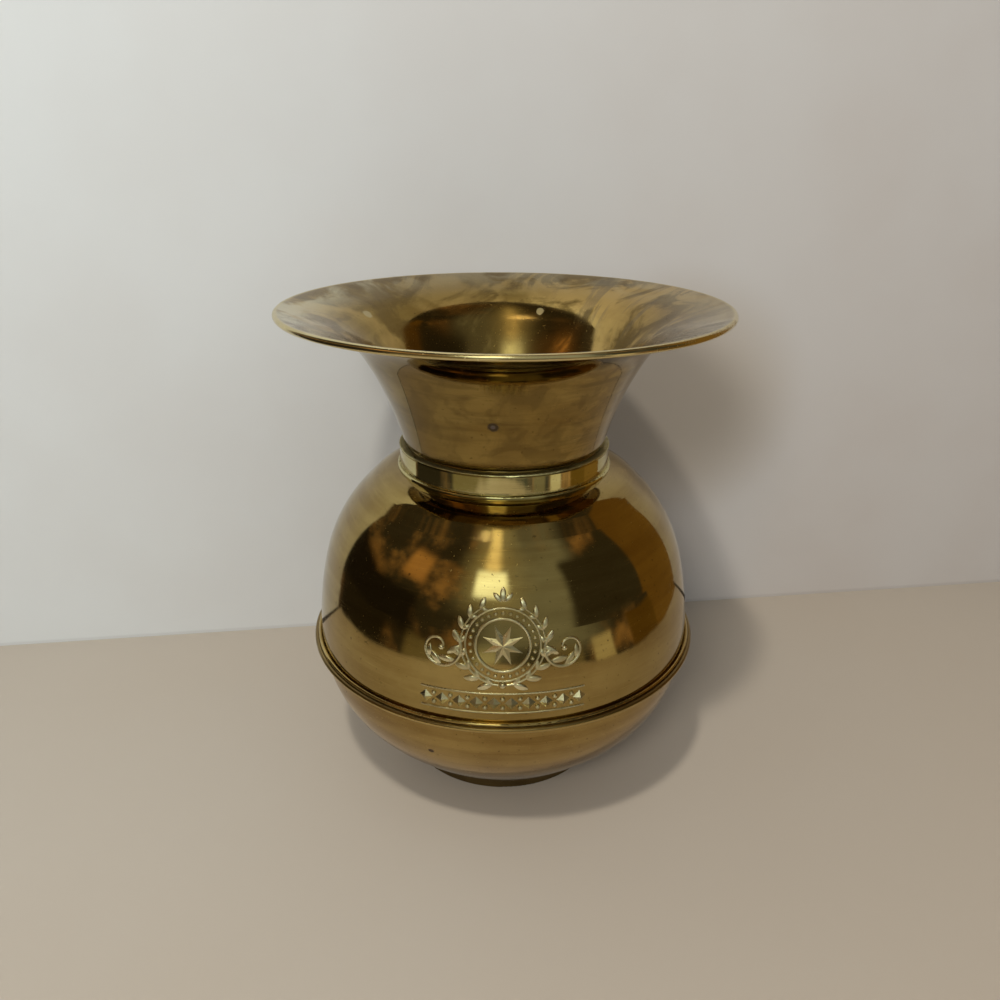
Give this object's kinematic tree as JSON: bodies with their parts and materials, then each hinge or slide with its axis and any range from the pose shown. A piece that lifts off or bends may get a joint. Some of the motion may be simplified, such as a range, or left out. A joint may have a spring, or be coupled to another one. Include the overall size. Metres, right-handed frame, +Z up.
{
  "type": "spittoon",
  "caption": "Round brass spittoon: a flared trumpet mouth lifts out of the collar of a spun, two-shell body with a reeded belt and a low weighted foot.",
  "frame": {"origin": "centre of the foot's underside, on the axis the piece is turned about", "axes": "+Z up along the axis of the body, neck and mouth; -Y is the decorated front"},
  "size_m": [0.216, 0.216, 0.2445],
  "materials": {
    "body_brass": "old polish, mirror-like with soft brown streaks, lathe marks and small tarnish spots",
    "mouth_brass": "old polish, blotched with gold and brown patches and a few round spots",
    "collar_brass": "bright polish, paler than the body, with green-grey tarnish on its ledge",
    "belt_brass": "polished on the crests of the reeds, brown in the groove",
    "foot_brass": "dull, darkened brass",
    "base_brass": "plain sheet, dull, with ring-shaped lathe marks",
    "weight_iron": "rough casting, out of sight",
    "rim_steel": "drawn wire, out of sight"
  },
  "bodies": {
    "vessel": {"foot_ring": "foot_brass", "base_plate": "base_brass", "base_weight": "weight_iron", "lower_bowl": "body_brass", "shoulder": "body_brass", "belt": "belt_brass", "collar": "collar_brass"},
    "mouth": {"funnel": "mouth_brass", "rim_wire": "rim_steel"}
  },
  "joints": [
    {"name": "mouth_lift", "type": "slide", "parent": "vessel", "child": "mouth", "axis": [0, 0, 1], "range_m": [0, 0.06]}
  ]
}
